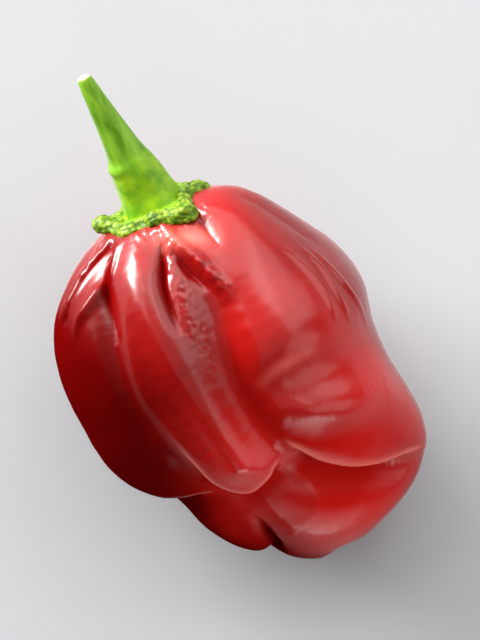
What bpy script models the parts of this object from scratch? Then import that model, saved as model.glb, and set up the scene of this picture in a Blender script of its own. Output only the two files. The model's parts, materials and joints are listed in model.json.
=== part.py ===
"""A habanero pepper with its green stem, lying on its side on a small flat spot.

Run it with: blender --background --python part.py

Lengths below are in millimetres and become metres when a mesh is written. The pepper is shaped first in
its own frame: the origin is under the middle of the green collar, +Y points to the stem's cut end, +X to
the right as seen from above, and +Z up from the surface. At the end everything is shifted so that the
origin is the flat spot.

Two numbers place a point on the pod's skin: t runs from 0 at the collar to 1 at the blunt tip, and turn
goes round the pod, 0 at the right, a quarter turn at the top and half a turn at the left.
"""

import math

import bmesh
import bpy
import numpy as np

MM = 0.001

# Stance: lying on its side, the pod slopes down to its tip
TILT = math.radians(17.0)
# Height of the collar's middle above the surface
COLLAR_HEIGHT = 21.3
# Middle of the flat spot under the belly, right of the collar and before it
REST_SPOT = (1.0, -21.5)

# Cross-sections of the pod, collar to tip, in the pod's own sloping frame:
# depth below the collar, left edge, right edge, top, bottom
SECTIONS = (
    (0.3, 0.0, 0.0, 0.0, 0.0),
    (-0.4, -3.4, 3.5, 2.8, -3.4),
    (-0.6, -6.4, 6.8, 5.0, -6.2),
    (0.4, -9.8, 10.3, 7.3, -9.2),
    (2.6, -13.6, 12.8, 9.9, -11.8),
    (5.7, -17.0, 14.9, 12.5, -13.9),
    (9.7, -19.2, 17.2, 14.8, -15.5),
    (14.4, -20.2, 19.5, 16.4, -16.4),
    (19.2, -20.2, 20.5, 17.0, -16.5),
    (24.4, -19.5, 19.6, 16.5, -15.6),
    (29.6, -17.1, 19.5, 15.2, -13.8),
    (34.6, -13.6, 20.2, 12.8, -11.8),
    (39.0, -11.6, 20.3, 10.3, -9.8),
    (43.2, -9.2, 18.6, 8.5, -7.8),
    (46.6, -5.8, 14.8, 6.8, -6.0),
    (49.0, -2.2, 10.0, 4.5, -4.2),
    (50.1, 0.5, 7.0, 2.2, -2.6),
    (50.5, 3.6, 3.6, -0.6, -0.6),
)
# 2 makes each section an ellipse, more makes it squarer
SECTION_POWER = 2.25
SECTION_STEPS = 600
# Part of the skin's length, and of a turn in radians, over which its slope is measured
SLOPE_STEP = 0.004

# Every line of relief has a width and points with a height, or a depth with a minus. On the upper side the
# points are x and y as seen from above. On the sides and underneath they are depth below the collar and
# turn in degrees.
TOP_GROOVES = (
    (0.7, ((-5.9, -1.2, -0.4), (-6.9, -1.8, -0.8), (-9.7, -3.4, -1.0), (-12.4, -5.0, -1.0),
           (-14.6, -6.5, -0.7), (-16.6, -9.0, 0.0))),
    (0.8, ((-5.2, -1.6, -0.4), (-6.3, -2.6, -0.9), (-8.1, -5.0, -1.3), (-9.4, -6.9, -1.1),
           (-10.3, -9.2, -0.7), (-11.0, -12.5, 0.0))),
    (0.6, ((0.2, -1.4, -0.3), (-0.3, -3.1, -0.8), (-1.4, -6.2, -1.1), (-2.4, -8.9, -1.1),
           (-2.9, -12.1, -0.8), (-3.2, -15.0, 0.0))),
    (0.6, ((0.3, -4.6, 0.0), (0.8, -6.2, -0.4), (1.2, -8.2, -0.5), (2.0, -10.0, -0.3),
           (3.0, -12.0, 0.0))),
    (0.6, ((5.0, -2.2, -0.3), (5.3, -3.6, -0.6), (5.6, -5.2, -0.5), (6.1, -7.2, 0.0))),
)
SIDE_GROOVES = (
    (1.6, ((0.6, 28, -0.1), (3.0, 24, -0.3), (8.0, 20, -0.3), (14.0, 18, 0.0))),
    (1.2, ((0.6, -8, -0.3), (3.0, -12, -0.9), (8.0, -15, -0.7), (12.0, -16, 0.0))),
    (2.0, ((0.6, -34, -0.6), (4.0, -36, -2.0), (14.0, -34, -2.6), (26.0, -32, -1.6), (37.0, -38, 0.0))),
    (0.9, ((0.6, -72, -0.3), (4.0, -70, -1.0), (9.0, -68, 0.0))),
    (1.9, ((0.6, -112, -0.6), (4.0, -116, -1.9), (14.0, -122, -2.3), (26.0, -126, -1.5),
           (37.0, -122, 0.0))),
    (0.8, ((0.6, -142, -0.3), (3.0, -145, -1.0), (8.0, -147, -0.7), (12.0, -148, 0.0))),
    (1.7, ((0.6, -164, -0.5), (4.0, -168, -1.8), (14.0, -170, -2.0), (24.0, -168, -1.2),
           (32.0, -166, 0.0))),
    (1.4, ((48.6, -62, 0.0), (45.0, -58, -1.7), (40.0, -52, -1.5), (35.0, -48, 0.0))),
    (1.4, ((48.6, -146, 0.0), (45.0, -143, -1.6), (40.0, -139, -1.4), (35.0, -136, 0.0))),
    (0.8, ((39.0, 128, 0.0), (41.0, 128, -0.8), (43.2, 131, -1.7), (45.6, 140, -2.6),
           (46.8, 160, -2.6), (46.3, 185, -1.6), (44.5, 205, 0.0))),
)
# Soft lobes and, with a minus, soft hollows between them
TOP_SWELLS = (
    (1.7, ((-7.6, -4.6, 0.0), (-9.8, -8.0, -0.6), (-11.0, -12.0, -1.1), (-11.8, -17.0, -1.0),
           (-12.0, -23.0, -0.6), (-11.4, -29.0, 0.0))),
    (2.6, ((1.0, -6.0, 0.0), (2.0, -10.5, -0.8), (2.2, -14.0, -1.6), (1.4, -19.0, -1.8),
           (0.8, -25.0, -1.5), (1.0, -29.0, -1.1), (2.0, -32.0, -0.4))),
    (2.6, ((-4.4, -1.5, 0.5), (-5.0, -6.0, 1.2), (-5.8, -12.0, 1.3), (-5.2, -20.0, 1.2),
           (-4.0, -31.0, 1.1))),
    (1.0, ((0.7, -2.0, 0.2), (1.3, -4.1, 0.5), (2.3, -5.9, 0.7), (3.1, -8.0, 0.7), (3.9, -10.8, 0.4),
           (4.8, -13.5, 0.0))),
    (0.7, ((-5.2, -0.8, 0.2), (-5.8, -1.4, 0.5), (-8.8, -4.0, 0.7), (-12.2, -6.3, 0.7),
           (-14.2, -7.8, 0.4), (-15.8, -10.2, 0.0))),
    (0.7, ((-5.6, 0.2, 0.2), (-6.6, -0.3, 0.5), (-9.0, -1.5, 0.6), (-11.5, -2.9, 0.6),
           (-14.2, -4.7, 0.6), (-16.6, -7.2, 0.0))),
    (5.5, ((8.0, -5.0, 0.3), (10.5, -12.0, 0.5), (11.0, -19.0, 0.6))),
    (3.2, ((5.0, -29.5, 0.9), (8.5, -31.0, 1.3), (13.0, -32.2, 1.3), (17.0, -32.5, 0.7))),
    (4.0, ((1.0, -40.0, 0.8), (4.0, -43.0, 0.8), (8.0, -44.5, 0.8))),
)
# A groove's bottom is rounded off over its width divided by this
GROOVE_SHARPNESS = 3.3

# Folds, where a lobe ends in a lip that hangs over what lies beyond it, with the drop at each point. The
# lobe is on the left of the line.
TOP_FOLDS = (
    (0.95, ((-10.4, -20.5, 0.0), (-10.1, -24.5, 0.5), (-9.4, -28.5, 1.2), (-8.5, -31.5, 1.9),
            (-7.0, -34.1, 2.8), (-5.4, -35.6, 3.2), (-3.6, -36.0, 3.3), (-1.4, -35.4, 2.8),
            (0.4, -34.6, 1.8), (1.6, -34.0, 0.9), (2.8, -33.4, 0.0))),
    (1.1, ((1.8, -29.4, 0.0), (2.1, -31.2, 0.7), (3.0, -33.0, 1.5), (4.4, -35.0, 2.2),
           (6.4, -36.9, 2.7), (9.2, -38.9, 2.8), (12.8, -40.4, 2.2), (16.6, -41.1, 1.3),
           (20.0, -41.4, 0.0))),
    (1.35, ((2.0, -28.2, 0.0), (2.7, -26.6, 0.5), (4.0, -25.3, 1.0), (5.8, -24.5, 1.5),
            (8.2, -24.3, 1.6), (10.8, -24.6, 1.0), (13.6, -25.4, 0.4), (16.0, -26.2, 0.0))),
)
SIDE_FOLDS = (
    (1.2, ((24.0, -150, 0.0), (26.5, -162, 1.5), (28.8, -178, 2.2), (30.8, 164, 2.6), (33.0, 146, 2.2),
           (35.0, 130, 0.0))),
    (1.6, ((30.0, -18, 0.0), (33.0, -34, 1.4), (35.0, -52, 1.8), (36.0, -72, 1.6), (36.0, -92, 1.4),
           (35.0, -112, 0.0))),
)
# A fold in section: where the plain skin was across the fold and where it goes, as multiples of the fold's
# width, and its height as a multiple of the drop
FOLD_SHAPE = (
    (2.6, 2.6, 0.0),
    (1.6, 1.6, 0.12),
    (0.9, 0.86, 0.34),
    (0.45, 0.4, 0.42),
    (0.22, 0.12, 0.3),
    (0.1, 0.0, 0.05),
    (0.0, 0.02, -0.25),
    (-0.12, 0.0, -0.48),
    (-0.3, -0.2, -0.56),
    (-0.7, -0.66, -0.46),
    (-1.3, -1.3, -0.18),
    (-2.0, -2.0, 0.0),
)
# A fold's width is its first number times the hypotenuse of its drop and this
FOLD_SOFTNESS = 1.8
# Between these two drops a soft step turns into a lip that hangs over
LIP_ROLLS_OVER = (0.8, 2.2)
SOFT_STEP = 0.9
# Points that a line of relief, and a fold and its section, are drawn through
LINE_STEPS = 24
FOLD_STEPS = 40
FOLD_SHAPE_STEPS = 160
# Rows and columns of skin points that the lines of the upper side are dropped onto
LOOKUP_STEPS = 240

# The share t over which the relief sets in, clear of the collar, and over which it ends, at the tip
RELIEF_SETS_IN = (0.065, 0.1)
RELIEF_ENDS = (0.94, 0.99)
# Gentle rolling of the whole skin: height, waves round, waves along, phase
ROLLING = (
    (0.35, 3, 2.0, 0.4),
    (0.25, 5, 3.0, 2.1),
    (0.15, 8, 5.0, 4.0),
)

# The collar and stem, in the same sloping frame: height above the collar's middle and radius, from the
# cut end to the rim
STEM_PROFILE = (
    (20.5, 0.0),
    (20.7, 0.55),
    (20.3, 0.95),
    (18.0, 1.25),
    (14.0, 1.7),
    (11.0, 2.1),
    (9.2, 2.45),
    (8.2, 2.75),
    (6.5, 3.1),
    (4.0, 3.45),
    (2.6, 3.8),
    (1.7, 4.1),
    (1.4, 4.7),
    (1.3, 5.4),
    (1.2, 6.0),
)
STEM_STEPS = 200
# v at the rim: the stem and the collar's upper side come before it, its underside after it
RIM_V = 0.8
RIM_RADIUS = 6.0
RIM_THICKNESS = 1.1
# The rim is thinner than the rest by this share, and its edge between the teeth is pulled in by this much
RIM_THINS_BY = 0.3
RIM_PULLED_IN = 0.5
# Height, radius and width of the raised roll that runs round the rim
RIM_ROLL = (0.6, 5.2, 0.7)
# Shares of the rim's radius over which the stem becomes rim, and over which its shift to the right ends
RIM_SETS_IN = (0.6, 1.0)
SHIFT_ENDS = (0.7, 1.0)
# Clearance between the collar and the pod under it
JOIN_GAP = 0.75
# Sideways and upward lean per unit of height, and how far right of the pod's own axis the stem stands
STEM_LEAN = (-0.05, 0.02)
STEM_START = 0.8
# Shallow ribs of the stem: height as a share of the radius, how many, phase, and v over which they set in
STEM_RIBS = (0.05, 5, 0.6, (0.05, 0.3))
# Teeth of the collar's rim: turn in degrees, width in degrees, how far each reaches and how far it lifts
TEETH = (
    (182, 14, 1.2, 1.6),
    (214, 12, 0.6, 0.2),
    (250, 13, 0.7, 0.1),
    (286, 12, 0.6, 0.2),
    (324, 16, 1.3, -0.1),
    (2, 12, 2.4, 0.0),
    (56, 13, 2.3, 0.0),
    (84, 14, 0.4, 0.1),
    (134, 16, 0.6, 0.1),
)

# Mesh fineness, and the share of the pod's faces that is kept, most of them along its folds
POD_AROUND = 240
POD_ALONG = 156
POD_KEEP = 0.14
# Points nearer than this to the flat spot's plane move onto it
SHORTEST_EDGE = 0.05
STEM_AROUND = 48
STEM_ALONG = 40

POD_RED = (0.30, 0.010, 0.008, 1.0)
POD_ROUGHNESS = 0.25
STEM_GREEN = (0.20, 0.36, 0.03, 1.0)
STEM_ROUGHNESS = 0.4


def curve_through(points, count):
    """A smooth (Catmull-Rom) curve through the points, given as count rows."""
    p = np.asarray(points, float)
    p = np.vstack([2 * p[0] - p[1], p, 2 * p[-1] - p[-2]])
    spot = np.linspace(0, len(p) - 3 - 1e-9, count)
    i = spot.astype(int)
    f = (spot - i)[:, None]
    a, b, c, d = p[i], p[i + 1], p[i + 2], p[i + 3]
    square, cube = 2 * a - 5 * b + 4 * c - d, 3 * (b - c) + d - a
    return 0.5 * (2 * b + (c - a) * f + square * f**2 + cube * f**3)


def ease(low, high, x):
    """0 below low, 1 above high and a smooth step between."""
    f = np.clip((x - low) / (high - low), 0, 1)
    return f * f * (3 - 2 * f)


def place(x, up, along):
    """From the sloping frame (right, up from the axis, along it to the stem) to the upright one."""
    y = along * math.cos(TILT) - up * math.sin(TILT)
    z = COLLAR_HEIGHT + along * math.sin(TILT) + up * math.cos(TILT)
    return np.stack([x, y, z], axis=-1)


def section_rows():
    """The sections as a fine curve, with t for each row: the share of the way along the skin."""
    rows = curve_through(SECTIONS, SECTION_STEPS)
    step = np.diff(rows, axis=0)
    across = (step[:, 2] - step[:, 1] + step[:, 3] - step[:, 4]) / 4
    run = np.concatenate([[0], np.cumsum(np.hypot(step[:, 0], across))])
    return rows, run / run[-1]


SECTION_ROWS, SECTION_T = section_rows()


def plain_pod(t, turn):
    """The pod without grooves and folds: squarish oval sections along a sloping line."""
    depth, left, right, top, bottom = (np.interp(t, SECTION_T, SECTION_ROWS[:, k]) for k in range(5))
    c, s = np.cos(turn), np.sin(turn)
    reach = (np.abs(c) ** SECTION_POWER + np.abs(s) ** SECTION_POWER) ** (-1 / SECTION_POWER)
    x = (left + right) / 2 + (right - left) / 2 * c * reach
    up = (top + bottom) / 2 + (top - bottom) / 2 * s * reach
    return place(x, up, -depth)


def plain_normal(t, turn):
    """Outward direction of the plain pod, from small steps along it and round it."""
    t = np.clip(t, 3 * SLOPE_STEP, 1 - 3 * SLOPE_STEP)
    along = plain_pod(t + SLOPE_STEP, turn) - plain_pod(t - SLOPE_STEP, turn)
    around = plain_pod(t, turn + SLOPE_STEP) - plain_pod(t, turn - SLOPE_STEP)
    normal = np.cross(around, along)
    return normal / np.linalg.norm(normal, axis=-1, keepdims=True)


def upper_skin():
    """A grid of points over the pod's upper side, with their normals."""
    shares, turns = np.linspace(0, 1, LOOKUP_STEPS), np.linspace(0, math.pi, LOOKUP_STEPS)
    t, turn = (grid.ravel() for grid in np.meshgrid(shares, turns))
    skin, normal = plain_pod(t, turn), plain_normal(t, turn)
    is_up = normal[:, 2] > 0
    return skin[is_up], normal[is_up]


UPPER_SKIN, UPPER_NORMAL = upper_skin()


def on_top(points, rises):
    """The skin point that is seen at each (x, y) from above, once it has moved by its height.

    Where the third number isn't a height, such as a fold's drop, rises is False.
    """
    seen = np.array([p[:2] for p in points])
    height = np.array([p[2] for p in points]) * rises
    at = UPPER_SKIN[None, :, :2] + height[:, None, None] * UPPER_NORMAL[None, :, :2]
    return UPPER_SKIN[np.linalg.norm(at - seen[:, None], axis=2).argmin(axis=1)]


def on_side(points, rises):
    """The points of the skin at depth below the collar and turn in degrees, rising there or not."""
    p = np.asarray(points, float)
    first = SECTION_ROWS[:, 0].argmin()
    t = np.interp(p[:, 0], SECTION_ROWS[first:, 0], SECTION_T[first:])
    return plain_pod(t, np.radians(p[:, 1]))


def distance_from(path, skin, normal):
    """For each skin point: its signed distance from the path, positive on the path's left, the share of
    the way along the path to the nearest point, and the direction straight across the path to its left."""
    a, step = path[:-1], np.diff(path, axis=0)
    off = skin[:, None] - a[None]
    share = np.clip((off * step).sum(2) / (step**2).sum(1), 0, 1)
    off = off - share[..., None] * step
    squared = (off**2).sum(2)
    near = squared.argmin(1)
    row = np.arange(len(skin))
    across = np.cross(normal, step[near])
    across /= np.linalg.norm(across, axis=1, keepdims=True)
    side = np.sign((off[row, near] * across).sum(1))
    return side * np.sqrt(squared[row, near]), (near + share[row, near]) / len(step), across


def along_path(run, values):
    """The value at each share of the way along a path, straight between those given at its points."""
    return np.interp(run, np.linspace(0, 1, len(values)), values)


def ridge(path, width, heights, skin, normal):
    """Height of a raised line, or of a groove where the height is negative.

    Across the line the height falls off exponentially from a crest that is rounded off.
    """
    away, run, _ = distance_from(curve_through(path, LINE_STEPS), skin, normal)
    rounding = width / GROOVE_SHARPNESS
    return along_path(run, heights) * np.exp(-(np.hypot(away, rounding) - rounding) / width)


def swell(path, width, heights, skin, normal):
    """Height of a soft lobe or hollow: a bell curve across its line."""
    away, run, _ = distance_from(curve_through(path, LINE_STEPS), skin, normal)
    return along_path(run, heights) * np.exp(-((away / width) ** 2))


def fold(path, spread, drops, skin, normal):
    """How far a fold moves each skin point: across the fold, and up or down.

    A low fold is only a soft step up to the lobe. A higher one rolls over its lower side in a lip.
    """
    away, run, across = distance_from(curve_through(path, FOLD_STEPS), skin, normal)
    drop = along_path(run, drops)
    width = spread * np.hypot(drop, FOLD_SOFTNESS)
    shape = curve_through(FOLD_SHAPE[::-1], FOLD_SHAPE_STEPS)
    was = np.clip(away / width, shape[0, 0], shape[-1, 0])
    goes, lip = (np.interp(was, shape[:, 0], shape[:, k]) for k in (1, 2))
    rolled = ease(*LIP_ROLLS_OVER, drop)
    step = SOFT_STEP * was * np.exp(-(was**2))
    return (rolled * width * (goes - was))[:, None] * across, drop * (rolled * lip + (1 - rolled) * step)


def pod_skin(t, turn):
    """The finished pod at t and turn."""
    skin, normal = plain_pod(t, turn), plain_normal(t, turn)
    height, sideways = np.zeros(len(t)), np.zeros((len(t), 3))
    for lines, lift, shape in (
        (TOP_GROOVES, on_top, ridge),
        (SIDE_GROOVES, on_side, ridge),
        (TOP_SWELLS, on_top, swell),
    ):
        for width, points in lines:
            height += shape(lift(points, True), width, [p[2] for p in points], skin, normal)
    for lines, lift in ((TOP_FOLDS, on_top), (SIDE_FOLDS, on_side)):
        for spread, points in lines:
            moved, rise = fold(lift(points, False), spread, [p[2] for p in points], skin, normal)
            height += rise
            sideways += moved
    for rise, waves_round, waves_along, phase in ROLLING:
        round_it = np.sin(waves_round * turn + phase)
        along_it = np.sin(waves_along * math.pi * t + 2 * phase)
        height += rise * round_it * along_it
    strength = ease(*RELIEF_SETS_IN, t) * (1 - ease(*RELIEF_ENDS, t))
    return skin + strength[:, None] * (sideways + height[:, None] * normal)


def shoulder_depth(radius, turn):
    """Depth of the pod's shoulder at each radius, between its right profile and its steeper upper one."""
    rows = SECTION_ROWS[: SECTION_ROWS[:, 2].argmax()]
    upper = np.clip(np.sin(turn), 0, 1)[:, None]
    reach = rows[:, 2] + (rows[:, 3] - rows[:, 2]) * upper
    return rows[np.argmax(reach >= radius[:, None], axis=1), 0]


def collar_skin(v, turn):
    """The collar and stem: v runs from 0 at the cut end, over the rim at RIM_V, to 1 under the collar."""
    rows = curve_through(STEM_PROFILE, STEM_STEPS)
    run = np.concatenate([[0], np.cumsum(np.linalg.norm(np.diff(rows, axis=0), axis=1))])
    outside = np.interp(v / RIM_V, run / run[-1], rows[:, 0])
    under = v > RIM_V
    upper_radius = np.interp(v / RIM_V, run / run[-1], rows[:, 1])
    radius = np.where(under, RIM_RADIUS * (1 - v) / (1 - RIM_V), upper_radius)
    rim = ease(*RIM_SETS_IN, radius / RIM_RADIUS)
    reach, lift = np.zeros_like(v), np.zeros_like(v)
    for middle, width, out, rise in TEETH:
        away = (np.degrees(turn) - middle + 180) % 360 - 180
        tooth = np.exp(-((away / width) ** 2))
        reach += out * tooth
        lift += rise * tooth
    height, count, phase, sets_in = STEM_RIBS
    ribs = 1 + height * (1 - rim) * np.cos(count * turn + phase) * ease(*sets_in, v)
    wide = (radius + rim * (reach - RIM_PULLED_IN)) * np.where(under, 1, ribs)
    seat = JOIN_GAP - shoulder_depth(wide, turn)
    roll_height, roll_radius, roll_width = RIM_ROLL
    roll = roll_height * np.exp(-(((radius - roll_radius) / roll_width) ** 2))
    upper_side = np.maximum(outside, seat + RIM_THICKNESS * (1 - RIM_THINS_BY * rim)) + roll
    above = np.where(under, seat, upper_side) + rim**2 * lift
    aside = STEM_START * (1 - ease(*SHIFT_ENDS, radius / RIM_RADIUS))
    x = wide * np.cos(turn) + aside + STEM_LEAN[0] * np.maximum(above, 0)
    up = wide * np.sin(turn) + STEM_LEAN[1] * np.maximum(above, 0)
    return place(x, up, above)


def wrapped_sphere(name, around, along, skin):
    """A mesh from a UV sphere whose every point is carried onto a skin, pole to pole.

    A skin's turn runs the other way round than the sphere's, seen from its first pole, so the faces are
    reversed.
    """
    bm = bmesh.new()
    bmesh.ops.create_uvsphere(bm, u_segments=around, v_segments=along, radius=1)
    ball = np.array([v.co for v in bm.verts])
    down = np.arccos(np.clip(ball[:, 2], -1, 1)) / math.pi
    turn = np.arctan2(ball[:, 1], ball[:, 0])
    points = (skin(down, turn) - np.array([*REST_SPOT, 0])) * MM
    for vertex, point in zip(bm.verts, points):
        vertex.co = point
    bmesh.ops.reverse_faces(bm, faces=bm.faces)
    mesh = bpy.data.meshes.new(name)
    bm.to_mesh(mesh)
    bm.free()
    return mesh


def with_fewer_faces(mesh, keep):
    """The mesh with only a share of its faces: Decimate takes them from its smooth stretches."""
    model = bpy.data.objects.new("fine " + mesh.name, mesh)
    bpy.context.scene.collection.objects.link(model)
    model.modifiers.new("fewer faces", "DECIMATE").ratio = keep
    evaluated = model.evaluated_get(bpy.context.evaluated_depsgraph_get())
    fewer = bpy.data.meshes.new_from_object(evaluated)
    bpy.data.objects.remove(model)
    return fewer


def cut_flat(mesh):
    """Cuts off what lies below the surface, z = 0, and closes the cut with one flat face."""
    bm = bmesh.new()
    bm.from_mesh(mesh)
    everything = [*bm.verts, *bm.edges, *bm.faces]
    cut = bmesh.ops.bisect_plane(
        bm,
        geom=everything,
        dist=SHORTEST_EDGE * MM,
        plane_co=(0, 0, 0),
        plane_no=(0, 0, -1),
        use_snap_center=True,
        clear_outer=True,
    )
    rim = [piece for piece in cut["geom_cut"] if isinstance(piece, bmesh.types.BMEdge)]
    bmesh.ops.contextual_create(bm, geom=rim)
    bm.normal_update()
    bmesh.ops.recalc_face_normals(bm, faces=bm.faces)
    bm.to_mesh(mesh)
    bm.free()


def material(name, colour, roughness):
    made = bpy.data.materials.new(name)
    made.use_nodes = True
    shader = made.node_tree.nodes["Principled BSDF"]
    shader.inputs["Base Color"].default_value = colour
    shader.inputs["Roughness"].default_value = roughness
    made.diffuse_color = colour
    return made


def add(collection, name, mesh, finish):
    mesh.name = name
    mesh.shade_smooth()
    mesh.materials.append(finish)
    collection.objects.link(bpy.data.objects.new(name, mesh))


def build():
    for old in list(bpy.data.objects):
        bpy.data.objects.remove(old)
    pepper = bpy.data.collections.new("pepper")
    bpy.context.scene.collection.children.link(pepper)
    fine_pod = wrapped_sphere("fine pod", POD_AROUND, POD_ALONG, pod_skin)
    pod = with_fewer_faces(fine_pod, POD_KEEP)
    cut_flat(pod)
    add(pepper, "pod", pod, material("glossy red skin", POD_RED, POD_ROUGHNESS))
    calyx_stem = wrapped_sphere("calyx_stem", STEM_AROUND, STEM_ALONG, collar_skin)
    add(pepper, "calyx_stem", calyx_stem, material("green stem", STEM_GREEN, STEM_ROUGHNESS))


build()
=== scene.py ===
# %% [markdown]
# # A chocolate habanero pepper
#
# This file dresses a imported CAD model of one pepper: a lobed, folded red pod and a green calyx with its
# stem. The CAD solids have the true size and the main lobes and folds. Here the same shapes are worked
# out again on much finer grids, with the wrinkles, crumbs and colours that a solid for physics can do
# without.
#
# The first step is to load the frame. Everything ends up in its coordinates, in metres, with the pepper
# lying on the floor at z = 0.

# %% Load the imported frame
import json
import math

import bpy
import numpy as np
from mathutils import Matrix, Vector


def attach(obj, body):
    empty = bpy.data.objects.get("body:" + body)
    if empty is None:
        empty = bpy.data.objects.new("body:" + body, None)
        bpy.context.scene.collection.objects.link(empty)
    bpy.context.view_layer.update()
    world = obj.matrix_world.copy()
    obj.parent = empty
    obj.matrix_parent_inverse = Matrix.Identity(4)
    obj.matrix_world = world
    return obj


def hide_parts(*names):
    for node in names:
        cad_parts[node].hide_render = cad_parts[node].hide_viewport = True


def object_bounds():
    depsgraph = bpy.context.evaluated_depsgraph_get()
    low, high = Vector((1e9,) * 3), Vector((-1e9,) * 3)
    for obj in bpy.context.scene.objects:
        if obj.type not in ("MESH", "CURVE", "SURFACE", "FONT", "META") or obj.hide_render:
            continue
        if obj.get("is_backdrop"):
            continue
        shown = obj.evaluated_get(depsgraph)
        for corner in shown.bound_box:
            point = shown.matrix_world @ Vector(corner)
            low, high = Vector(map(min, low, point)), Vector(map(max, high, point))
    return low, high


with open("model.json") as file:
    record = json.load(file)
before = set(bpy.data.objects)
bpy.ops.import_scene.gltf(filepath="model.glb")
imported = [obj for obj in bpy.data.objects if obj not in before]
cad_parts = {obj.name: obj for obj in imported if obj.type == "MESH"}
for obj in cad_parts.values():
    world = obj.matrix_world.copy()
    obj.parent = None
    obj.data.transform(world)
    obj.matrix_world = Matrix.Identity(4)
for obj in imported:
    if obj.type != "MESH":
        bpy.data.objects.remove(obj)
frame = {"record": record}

cad_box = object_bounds()
SLOTS = [material["slot"] for material in frame["record"]["materials"]]
print("CAD box, mm:", [[round(1000 * v, 1) for v in corner] for corner in cad_box], "slots:", SLOTS)

# %% [markdown]
# ## The pepper's own coordinates
#
# A fruit is easiest to describe from its calyx: how far down the pod, how far round it. So the shapes are
# first written in millimetres, in a frame whose origin is under the middle of the calyx, with +Y towards
# the stem's cut end and +X to the right as seen from above. The pod slopes down to its tip by `TILT`. The
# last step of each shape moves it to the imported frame, whose origin is on the flat spot underneath.

# %% Millimetres, the slope and the flat spot
MM = 0.001
TILT = math.radians(17.0)
COLLAR_HEIGHT = 21.3
# The frame's origin, the middle of the flat spot, in the pepper's own x and y
REST_SPOT = (1.0, -21.5)
print("the pod slopes by", round(math.degrees(TILT), 1), "degrees from", COLLAR_HEIGHT, "mm up")


def place(x, up, along):
    """From the sloping frame (right, up from the axis, along it to the stem) to the upright one."""
    y = along * math.cos(TILT) - up * math.sin(TILT)
    z = COLLAR_HEIGHT + along * math.sin(TILT) + up * math.cos(TILT)
    return np.stack([x, y, z], axis=-1)


def ease(low, high, x):
    """0 below low, 1 above high, and 3f² - 2f³ of the way f between them."""
    f = np.clip((x - low) / (high - low), 0, 1)
    return f * f * (3 - 2 * f)


# %% [markdown]
# ## Smooth curves through a few points
#
# The section sizes, the grooves and the folds are all given by a few points each. A Catmull-Rom curve
# passes through every point that it is given, which makes it easier to steer than a Bézier curve, where
# only the ends are touched.

# %% A curve through points
# Keeps the last place inside the last piece of the curve, and a length from being 0
TINY = 1e-9


def curve_through(points, count):
    """Between b and c, half of 2b + (c-a)f + (2a-5b+4c-d)f² + (3b-3c+d-a)f³, for f from 0 to 1."""
    p = np.asarray(points, float)
    p = np.vstack([2 * p[0] - p[1], p, 2 * p[-1] - p[-2]])
    spot = np.linspace(0, len(p) - 3 - TINY, count)
    i = spot.astype(int)
    f = (spot - i)[:, None]
    a, b, c, d = p[i], p[i + 1], p[i + 2], p[i + 3]
    return 0.5 * (2 * b + (c - a) * f + (2 * a - 5 * b + 4 * c - d) * f**2 + (3 * (b - c) + d - a) * f**3)


# %% [markdown]
# ## The pod without its folds
#
# A habanero pod is a squashed balloon: broad shoulders that rise a little round the calyx, a waist, and a
# blunt tip to one side. Its sections are neither circles nor squares, so each one is a superellipse with
# its own left, right, top and bottom. A skin of this kind is a loft. Two numbers place a point on it: `t`
# from 0 at the calyx to 1 at the tip, and `turn` round the pod, from 0 at the right over the top.

# %% Sections of the pod
# Depth below the calyx, then how far the section reaches left, right, up and down
SECTIONS = (
    (0.3, 0.0, 0.0, 0.0, 0.0),
    (-0.4, -3.4, 3.5, 2.8, -3.4),
    (-0.6, -6.4, 6.8, 5.0, -6.2),
    (0.4, -9.8, 10.3, 7.3, -9.2),
    (2.6, -13.6, 12.8, 9.9, -11.8),
    (5.7, -17.0, 14.9, 12.5, -13.9),
    (9.7, -19.2, 17.2, 14.8, -15.5),
    (14.4, -20.2, 19.5, 16.4, -16.4),
    (19.2, -20.2, 20.5, 16.9, -16.5),
    (24.4, -19.5, 19.6, 16.5, -15.6),
    (29.6, -17.1, 19.5, 15.2, -13.8),
    (34.6, -13.6, 20.2, 12.8, -11.8),
    (39.0, -11.6, 20.3, 10.3, -9.8),
    (43.2, -9.2, 18.6, 8.5, -7.8),
    (46.6, -5.8, 14.8, 6.8, -6.0),
    (49.0, -2.2, 10.0, 4.5, -4.2),
    (50.1, 0.5, 7.0, 2.2, -2.6),
    (50.5, 3.6, 3.6, -0.6, -0.6),
)
SECTION_POWER = 2.25
SECTION_COUNT = 600

SECTION_ROWS = curve_through(SECTIONS, SECTION_COUNT)
section_steps = np.diff(SECTION_ROWS, axis=0)
widening = (section_steps[:, 2] - section_steps[:, 1] + section_steps[:, 3] - section_steps[:, 4]) / 4
skin_run = np.concatenate([[0], np.cumsum(np.hypot(section_steps[:, 0], widening))])
SECTION_T = skin_run / skin_run[-1]
print("skin from calyx to tip, mm:", round(skin_run[-1], 1))


# %% A point of the plain pod, and the way out of it
def plain_pod(t, turn):
    """Superellipse: the radius is (|cos|^n + |sin|^n)^(-1/n) times the half-width and half-height."""
    depth, left, right, top, bottom = (np.interp(t, SECTION_T, SECTION_ROWS[:, k]) for k in range(5))
    c, s = np.cos(turn), np.sin(turn)
    reach = (np.abs(c) ** SECTION_POWER + np.abs(s) ** SECTION_POWER) ** (-1 / SECTION_POWER)
    x = (left + right) / 2 + (right - left) / 2 * c * reach
    up = (top + bottom) / 2 + (top - bottom) / 2 * s * reach
    return place(x, up, -depth)


def way_out(skin, t, turn, step):
    """Cross product of a small step round a skin and a small step along it, made one long."""
    along = skin(t + step, turn) - skin(t - step, turn)
    around = skin(t, turn + step) - skin(t, turn - step)
    normal = np.cross(around, along)
    return normal / np.maximum(np.linalg.norm(normal, axis=-1, keepdims=True), TINY)


POD_STEP = 0.004


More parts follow.
